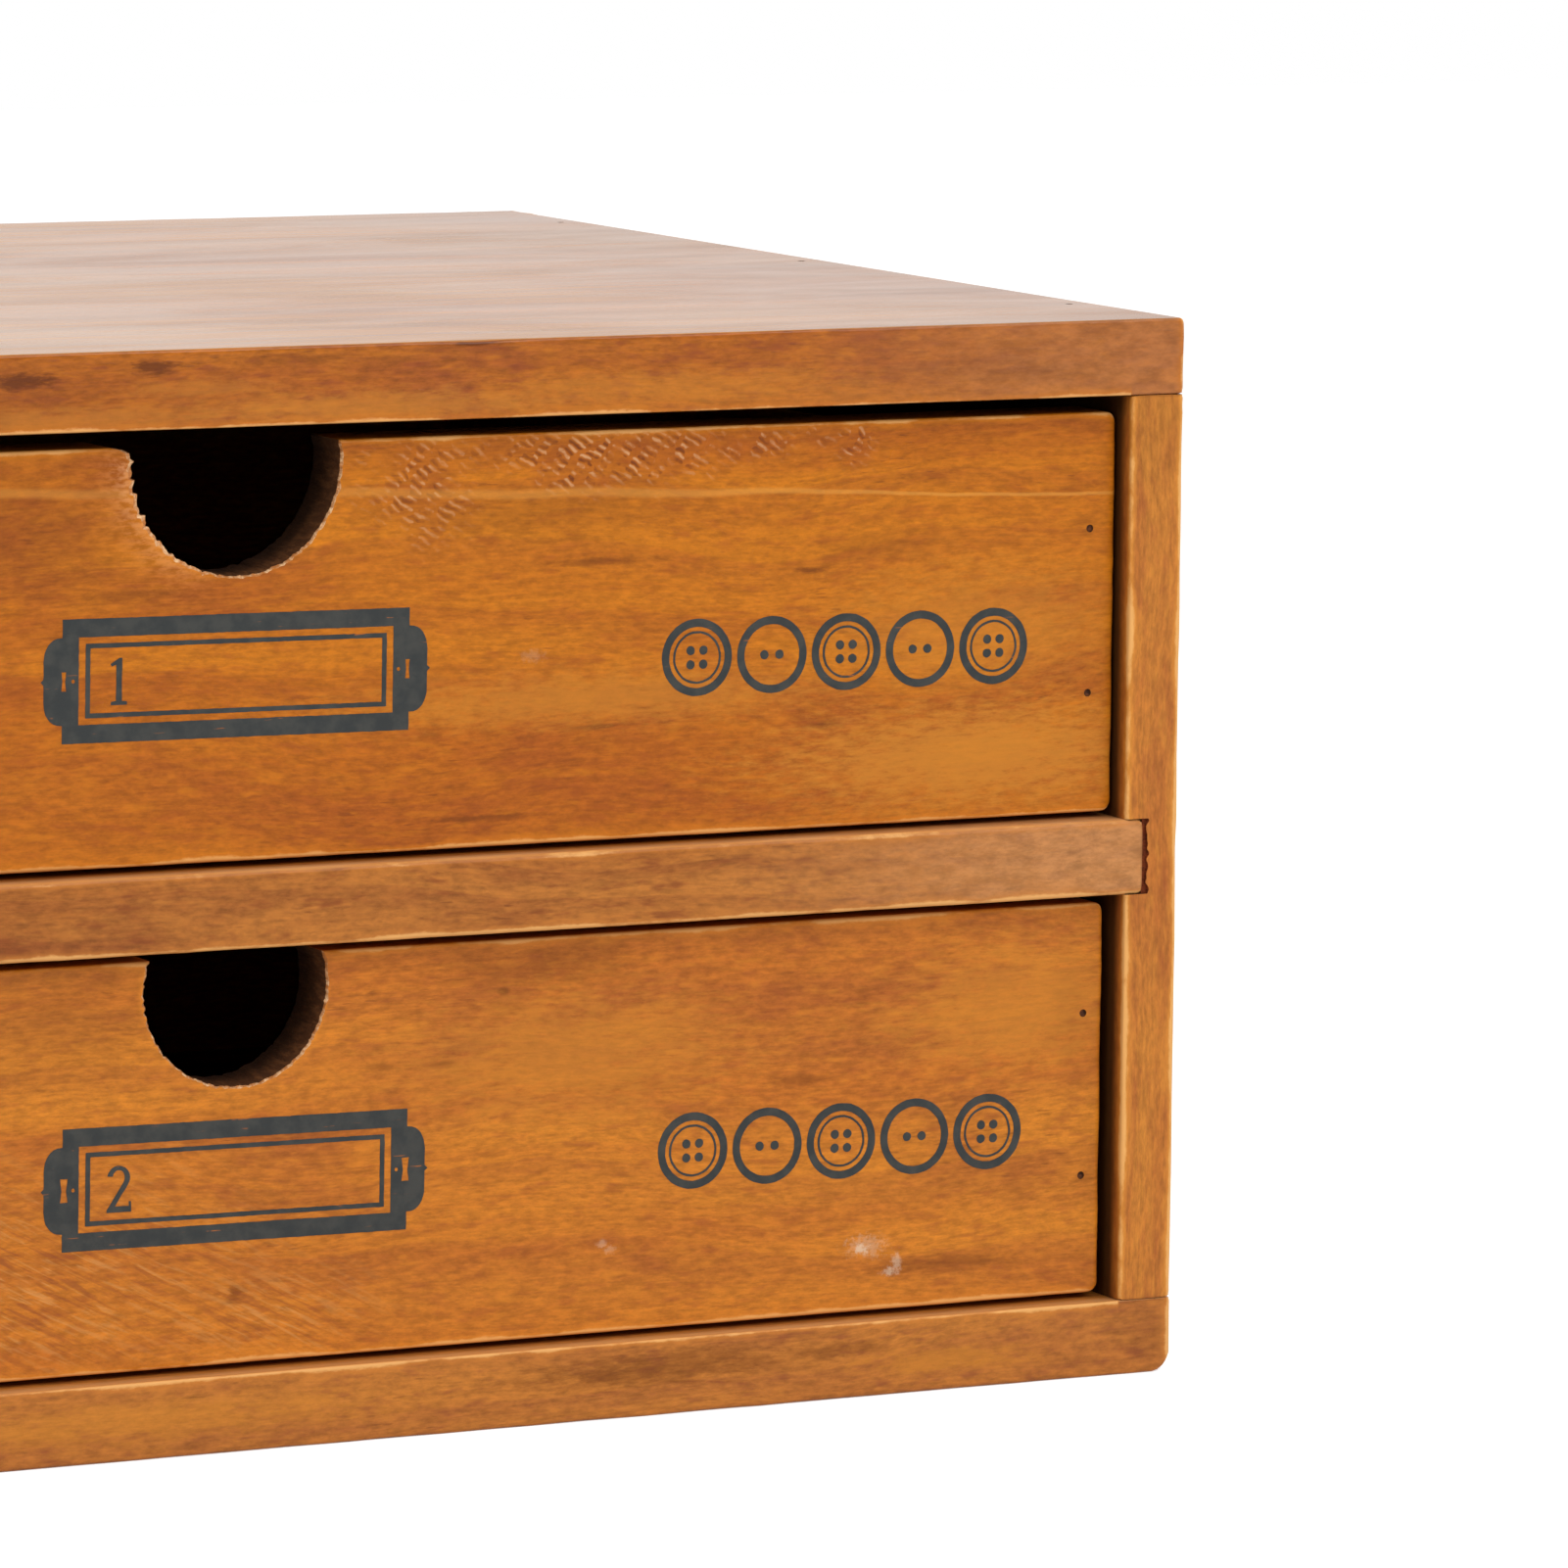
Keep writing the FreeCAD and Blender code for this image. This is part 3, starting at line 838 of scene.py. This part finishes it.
class Notch:
    """Finger notch in a drawer front: part of a circle, open at the front's upper edge.

    tear(angle) is how far the face is torn away round the rim, and the shoulder is worn off along
    its points, given from the head of the notch in millimetres.
    """

    def __init__(self, head, radius, depth, seed, tear, shoulder=()):
        self.head, self.radius, self.seed, self.tear = head, radius, seed, tear
        self.centre = head - depth + radius
        self.shoulder = shoulder
        self.right = math.pi - math.acos((head - self.centre) / radius)
        left_head = head + (shoulder[-1][1] * MM if shoulder else 0.0)
        self.left = math.acos((left_head - self.centre) / radius) - math.pi

    def jag(self, angle, y):
        """Raggedness of the sawn edge at an angle, 0 at the bottom and positive to the right."""
        coarse = noise.noise(Vector((angle * 9, y * 120, self.seed)))
        fine = noise.noise(Vector((angle * 30, y * 300, self.seed + 5)))
        steps = (angle * 6 + 0.5 * coarse) % 1 - 0.5
        tear = self.tear(angle)
        return (0.16 * coarse + 0.15 * fine) * (MM + 0.6 * tear) + 0.6 * steps * tear

    def outline(self, y, widen):
        """Points round the notch at depth y, and the closing points above the front."""
        points = []
        count = 160
        for index in range(count + 1):
            angle = self.left + (self.right - self.left) * index / count
            distance = self.radius + self.jag(angle, y) + widen(angle)
            points.append((distance * math.sin(angle), y, self.centre - distance * math.cos(angle)))
        above = self.head + 3 * MM
        extra = widen(self.left)
        start = [(x * MM - extra, y, self.head + z * MM) for x, z in self.shoulder[:-1]]
        first = start[0][0] if start else points[0][0]
        return [(first, y, above), *start, *points, (points[-1][0], y, above)]

    def rim_wear(self, points):
        """Wear near the rim, and how torn the fibres are round it, both from 0 to 1."""
        across, up = points[:, 0], points[:, 2] - self.centre
        distance = np.maximum(0, np.hypot(across, up) - self.radius)
        tear = np.array([self.tear(angle) for angle in np.arctan2(across, -up)])
        wear_and_highlight = 0.95 * np.exp(-distance / (0.45 * MM + 0.5 * tear))
        return wear_and_highlight, np.clip(tear / MM - 0.35, 0, 1) * np.exp(-distance / (1.7 * MM))

    def cut(self, board):
        front, back = board.box.face("y-"), board.box.face("y+")

        def torn(angle):
            ragged = noise.noise(Vector((angle * 14, 3, self.seed)))
            return (0.25 * MM + self.tear(angle) * 0.45) * (0.9 + 0.7 * ragged)

        levels = ((front - 1 * MM, lambda a: torn(a) * 1.5), (front, torn),
                  (front + 0.45 * MM, lambda a: 0.0), (front + 4 * MM, lambda a: 0.0),
                  (back - 0.4 * MM, lambda a: 0.0), (back + 1 * MM, lambda a: 0.9 * MM))
        rings = [self.outline(y, widen) for y, widen in levels]
        size = len(rings[0])
        points = [point for ring in rings for point in ring]
        faces, slots = [list(range(size))], [1]
        for level in range(len(rings) - 1):
            for index in range(size):
                a, b = level * size + index, level * size + (index + 1) % size
                faces.append([a, a + size, b + size, b])
                slots.append(2 if level < 2 else 1)
        faces.append([(len(rings) - 1) * size + index for index in range(size)][::-1])
        slots.append(1)
        board.cut(points, faces, slots)
        board.rims.append(self)


def drawer(name, notch_radius, tear, shoulder, seed, stain):
    """Makes the boards of one drawer, and returns the box of its front."""
    body = f"{name}_drawer"

    def plank(part, stain, *args, **more):
        node = f"{body}_{part}"
        return Board(node + "_wood", node, [wood(node + "_stain", stain), *more.pop("inside")],
                     *args, **more)

    box = Box(body + "_front")
    near, fine = 26 * MM, 0.9 * MM
    dense = ((-near, near, fine), None, (box.high[2] - near, box.high[2], fine))
    corners = dict.fromkeys(("x-z-", "x-z+", "x+z-", "x+z+"), 1.8)
    # The front's bottom arris gets a stronger pale line: wear together with a painted reflection of
    # the floor
    front = plank("front", stain, {**corners, "x-y-": 0.9, "x+y-": 0.9, "y-z-": 0.7, "y-z+": 0.6},
                  worn={"y-z-": 1.2}, seams={"x-y-": 0, "x+y-": 0}, dense=dense, seed=seed,
                  inside=(NOTCH, TORN))
    Notch(box.high[2], notch_radius, NOTCH_DEPTH, seed, tear, shoulder).cut(front)

    def board(part, grain, joints=(), **more):
        plain = Stain(grain, 200.0 + 11 * seed + len(part), gloss=0.42, **more)
        return plank(part, plain, joints=joints, seed=seed + len(part), inside=(CUT,))

    bottom = board("bottom", "x", pith=(0.3, 0.0), ring_width=12 * MM)
    back = board("back", "x", ["x-y-", "x-y+", "x+y-", "x+y+"])
    groove_low = bottom.box.low - np.array((0.3, 0.3, 0)) * MM
    groove_high = bottom.box.high + np.array((0.3, 3, 0.15)) * MM
    front.cut_box(groove_low, groove_high)
    for part, sign in (("left_side", -1), ("right_side", 1)):
        side = board(part, "y")
        side.cut_box(groove_low - np.array((0, 5 * MM, 0)), groove_high)
        heads = [head for head in brad_heads_both_sides(body + "_back_brads") if head[0] * sign > 0]
        side.punch(heads, (-sign, 0, 0))
        side.finish(body, "drawer_boxes")
    front.punch(brad_heads(body + "_front_brads", "y-"), (0, 1, 0))
    bottom.punch(brad_heads(body + "_bottom_brads", "z-"), (0, 0, 1))
    front.finish(body, "drawer_fronts")
    back.finish(body, "drawer_boxes")
    bottom.finish(body, "plywood")
    return box


# Prints

def circle(x, z, radius, count=48):
    angles = [math.tau * index / count for index in range(count)]
    return [(x + radius * math.cos(angle), z + radius * math.sin(angle)) for angle in angles]


def rectangle(half_width, half_height):
    return [(u * half_width, v * half_height) for u, v in ((-1, -1), (1, -1), (1, 1), (-1, 1))]


LABEL_HALF_WIDTH = 28.35


def ear(side):
    """Rounded end of the label frame, with a small point at its middle, from bottom to top."""
    height, reach = 6.6, 3.0
    curve = []
    for index in range(9):
        angle = math.pi / 2 * index / 8
        curve.append((LABEL_HALF_WIDTH + reach * math.sin(angle) ** 0.8,
                      -height + 3.6 * (1 - math.cos(angle))))
    tip = LABEL_HALF_WIDTH + reach
    curve += [(tip, -0.45), (tip + 0.5, 0.0)]
    curve += [(x, -z) for x, z in curve[-2::-1]]
    return [(side * x, z) for x, z in (curve if side > 0 else curve[::-1])]


def label_frame(slot_half_width, slot_half_height):
    """The label frame's two shapes: its band with ears and slots, and a thin line inside it."""
    first, second, third, fourth = rectangle(LABEL_HALF_WIDTH, 9.35)
    band = [second, *ear(1), third, fourth, *ear(-1), first]
    waisted = ((-1, -1), (1, -1), (0.6, 0), (1, 1), (-1, 1), (-0.6, 0))
    slots = []
    for side in (-1, 1):
        slots.append([(side * 28.1 + u * slot_half_width, v * slot_half_height)
                      for u, v in waisted])
        slots.append(circle(side * 26.6, 0, 0.3, 12))
    return [[band, rectangle(25.7, 6.6), *slots], [rectangle(24.6, 5.6), rectangle(23.85, 4.9)]]


def numeral_one():
    return [[[(-1.3, -3.5), (1.3, -3.5), (1.3, -3.0), (0.5, -2.9), (0.5, 3.6), (0.1, 3.6),
              (-1.4, 2.7), (-1.2, 2.3), (-0.45, 2.6), (-0.45, -2.9), (-1.3, -3.0)]]]


def numeral_two():
    def arc(width, height, start, end):
        return [(width * math.cos(angle), 1.75 + height * math.sin(angle))
                for angle in np.linspace(math.radians(start), math.radians(end), 18)]

    return [[[*arc(1.85, 1.85, 170, -35), (-0.6, -2.6), (1.7, -2.6), (1.7, -1.9), (2.05, -1.9),
              (2.05, -3.5), (-1.9, -3.5), (-1.9, -3.1), *arc(1.0, 1.2, -35, 170)]]]


def button(x, holes):
    """Printed button: a rim, its sewing holes, and a thin inner line if it has four holes."""
    shapes = [[circle(x, 0, 6.0), circle(x, 0, 4.75)]]
    turn, spread = 0, 1.3
    if holes == 4:
        shapes.append([circle(x, 0, 4.1), circle(x, 0, 3.75)])
        turn, spread = math.pi / 4, 1.55
    for index in range(holes):
        angle = turn + math.tau * index / holes
        shapes.append([circle(x + spread * math.cos(angle), spread * math.sin(angle), 0.72, 20)])
    return shapes


def button_row():
    pitch = 12.9
    row = []
    for index, holes in enumerate((4, 2, 4, 2, 4)):
        row += button((index - 2) * pitch, holes)
    return row


def roughened(outline, seed):
    """The outline cut into short steps, each a little off its place as ink on wood is."""
    points = []
    for (x0, z0), (x1, z1) in zip(outline, outline[1:] + outline[:1]):
        steps = max(1, round(math.hypot(x1 - x0, z1 - z0) / 0.7))
        points += [(x0 + (x1 - x0) * i / steps, z0 + (z1 - z0) * i / steps) for i in range(steps)]
    return [(x + 0.06 * noise.noise(Vector((x * 1.3, z * 1.3, seed))),
             z + 0.06 * noise.noise(Vector((x * 1.3, z * 1.3, seed + 9)))) for x, z in points]


def filled(outlines, depth):
    """Mesh of a flat shape with a thickness: its first outline, less the others inside it."""
    curve = bpy.data.curves.new("outline", "CURVE")
    curve.dimensions, curve.fill_mode, curve.extrude = "2D", "BOTH", depth / 2
    for outline in outlines:
        spline = curve.splines.new("POLY")
        spline.points.add(len(outline) - 1)
        for point, (u, v) in zip(spline.points, outline):
            point.co = (u * MM, v * MM, 0, 1)
        spline.use_cyclic_u = True
    flat = new_object("outline", curve)
    mesh = evaluated_mesh(flat)
    bpy.data.objects.remove(flat)
    return mesh


def printed(name, shapes, x, front, height, body, material):
    """Thin film of ink on a drawer front. The shapes' outlines are in millimetres."""
    film, proud, tilt = 0.1 * MM, 0.03 * MM, math.radians(-0.5)
    whole = bmesh.new()
    for outlines in shapes:
        whole.from_mesh(filled([roughened(outline, x + height) for outline in outlines], film))
    bmesh.ops.remove_doubles(whole, verts=whole.verts, dist=0.001 * MM)
    mesh = bpy.data.meshes.new(name)
    whole.to_mesh(mesh)
    whole.free()
    place = (x * MM, front.low[1] - proud + film / 2, front.low[2] + height * MM)
    mesh.transform(Matrix.Translation(place) @ Matrix.Rotation(math.pi / 2, 4, "X")
                   @ Matrix.Rotation(tilt, 4, "Z"))
    mesh.materials.append(material)
    piece = new_object(name, mesh)
    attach(piece, body)


# Build

def torn_left(angle):
    """How far the notch is torn: most on its lower left, where the saw left the wood."""
    return (0.25 + 1.1 * max(0.0, math.sin(-angle - 0.1))) * MM


def clean_rim(angle):
    return (0.2 + 0.15 * max(0.0, math.sin(-angle))) * MM


cabinet()
UPPER_STAIN = Stain("x", 165.0, (-0.19, 0.078), extra=saw_marks, rings=0.26, contrast=1.15,
    dark_spots=((60, 133.1, 9, 0.6, 0.5), (96.5, 130.3, 2.8, 0.5, 0.7), (60.5, 107.6, 5, 0.4, 0.65),
                (98.5, 106.1, 3.4, 0.5, 0.5), (41, 94.4, 9, 0.5, 0.55),
                (144.3, 136.2, 2.2, 0.9, 0.35), (-18, 131, 7, 1.0, 0.45), (50, 141, 26, 4.0, 0.25),
                (-50, 146, 26, 5, 0.3), (108, 134, 12, 2, 0.2), (-34, 140, 16, 9, 0.25)),
    light_spots=((60, 112, 40, 4, 0.5), (125, 120, 24, 10, 0.4), (126, 100, 34, 8, 0.7)),
    scuffs=((49, 119, 1.8, 0.8, 0.1),))
LOWER_STAIN = Stain(
    "x", 217.0, (-0.19, 0.001), rings=0.26, contrast=1.1, grain=1.1, extra=crossing_grain,
    colours=((0.6, 0.2, 0.017), (0.5, 0.144, 0.015), (0.3, 0.07, 0.016)),
    light_spots=((56, 57, 26, 10, 0.45), (134, 60, 22, 10, 0.5)),
    dark_spots=((44.6, 67.5, 1.1, 0.7, 0.8), (24.2, 57.0, 2.2, 0.5, 0.5),
                (34.3, 56.9, 2.4, 0.5, 0.55), (0, 23.8, 1.5, 1.2, 0.6), (52, 71.2, 16, 3.6, 0.35),
                (-30, 66, 15, 9, 0.22), (106.5, 62.9, 1.4, 1.0, 0.4), (95.5, 50.4, 5, 0.8, 0.4),
                (121, 19.6, 12, 1.3, 0.45), (146, 31.5, 2.0, 1.0, 0.4), (66, 51.5, 8, 1.6, 0.2),
                (143, 58, 3, 7, 0.25)),
    scuffs=((106.6, 22.9, 1.2, 0.9, 0.6), (107.4, 23.3, 3.0, 1.6, 0.22),
            (111.7, 18.9, 1.3, 0.7, 0.4), (112.8, 20.2, 0.8, 1.5, 0.34),
            (61.5, 27.0, 0.9, 0.6, 0.22), (62.9, 25.9, 0.9, 0.6, 0.18)))
upper = drawer("upper", 17 * MM, torn_left,
               ((-20.6, 0.0), (-18.6, -0.35), (-17.4, -0.9), (-16.6, -1.8)), 5, UPPER_STAIN)
lower = drawer("lower", 15 * MM, clean_rim, (), 9, LOWER_STAIN)

ink = print_ink("print_ink")
for name, front, numeral, slot_size in (("upper", upper, numeral_one(), (0.38, 1.45)),
                                        ("lower", lower, numeral_two(), (0.62, 1.8))):
    body = f"{name}_drawer"
    printed(f"{name}_label_print", label_frame(*slot_size), 0.0, front, 28.3, body, ink)
    printed(f"{name}_number_print", numeral, -19.2, front, 28.2, body, ink)
    printed(f"{name}_button_print", button_row(), 102.8, front, 27.4, body, ink)

steel = stained_steel("brad_steel")
for name, node in frame["nodes"].items():
    if name.endswith("brads"):
        for each in node.material_slots:
            each.material = steel


# Studio

FLOOR_HALF = 3.0
FLOOR_GLOW = 0.55

# Where the photo was taken from, in metres, with a full frame's sensor width in millimetres
CAMERA_PLACE = (-0.5618, -1.4242, 0.2888)
CAMERA_YAW, CAMERA_PITCH, CAMERA_ROLL = (math.radians(turn) for turn in (26.65, -7.49, 0.57))
CAMERA_LENS = 217.8
CAMERA_SENSOR = 36.0


def floor():
    corners = [(x, y, 0) for x, y in rectangle(FLOOR_HALF, FLOOR_HALF)]
    mesh = new_mesh("floor", corners, [(0, 1, 2, 3)])
    shader = Shader("floor_paper")
    paper = shader.noise(40, 2.0)
    colour = shader.mix(paper, (0.8,) * 3, (0.82,) * 3)
    shader.finish(colour, paper.ramp(0, 1, 0.9, 0.95), shader.bump(paper, 0.1 * MM, 0.1), 0.1)
    glow = shader.output("Emission", {"Color": (1, 1, 1), "Strength": FLOOR_GLOW})
    seen = shader.output("LightPath", output="Is Camera Ray")
    matt = shader.surface.outputs[0]
    both = shader.output("AddShader", {0: matt, 1: glow})
    choice = shader.output("MixShader", {0: seen, 1: matt, 2: both})
    feed(shader.tree, shader.tree.nodes["Material Output"].inputs["Surface"], choice)
    mesh.materials.append(shader.material)
    new_object("floor", mesh)


def world():
    """White behind the object and above it, and dimmer for reflections on the camera's side."""
    studio = bpy.data.worlds.new("studio")
    studio.use_nodes = True
    tree = studio.node_tree
    background = tree.nodes["Background"]
    feed(tree, background.inputs["Color"], (1, 1, 1))
    path = tree.nodes.new("ShaderNodeLightPath")
    direction = tree.nodes.new("ShaderNodeTexCoord").outputs["Generated"]
    axes = tree.nodes.new("ShaderNodeSeparateXYZ")
    tree.links.new(direction, axes.inputs[0])

    def switch(factor, low, high, start=0.0, end=1.0):
        """From low to high as the factor goes from start to end."""
        node = tree.nodes.new("ShaderNodeMapRange")
        for socket, value in zip(node.inputs, (factor, start, end, low, high)):
            feed(tree, socket, value)
        return node.outputs[0]

    mirrored = switch(axes.outputs["Y"], 0.25, 1.0, -0.7, 0.1)
    strength = switch(path.outputs["Is Glossy Ray"], 0.62, mirrored)
    strength = switch(path.outputs["Is Camera Ray"], strength, 1.0)
    strength = switch(path.outputs["Is Transmission Ray"], strength, 1.0)
    tree.links.new(strength, background.inputs["Strength"])
    bpy.context.scene.world = studio


def softbox(name, place, target, size, power):
    lamp = bpy.data.lights.new(name, "AREA")
    lamp.shape, lamp.size, lamp.size_y, lamp.energy = "RECTANGLE", size, size, power
    piece = new_object(name, lamp)
    piece.location = place
    direction = Vector(target) - Vector(place)
    piece.rotation_euler = direction.to_track_quat("-Z", "Y").to_euler()


def camera():
    lens_data = bpy.data.cameras.new("camera")
    lens_data.sensor_width, lens_data.lens = CAMERA_SENSOR, CAMERA_LENS
    lens_data.clip_start, lens_data.clip_end = 0.01, 20
    piece = new_object("camera", lens_data)
    turn = (Matrix.Rotation(-CAMERA_YAW, 4, "Z")
            @ Matrix.Rotation(math.pi / 2 + CAMERA_PITCH, 4, "X")
            @ Matrix.Rotation(CAMERA_ROLL, 4, "Z"))
    piece.matrix_world = Matrix.Translation(CAMERA_PLACE) @ turn
    bpy.context.scene.camera = piece


floor()
world()
softbox("key", (0.5, -1.6, 1.5), (0.05, 0, 0.08), 1.4, 22)
softbox("fill", (-1.5, -1.0, 1.0), (0, 0, 0.08), 1.2, 8)
camera()
bpy.context.scene.view_settings.view_transform = "Standard"
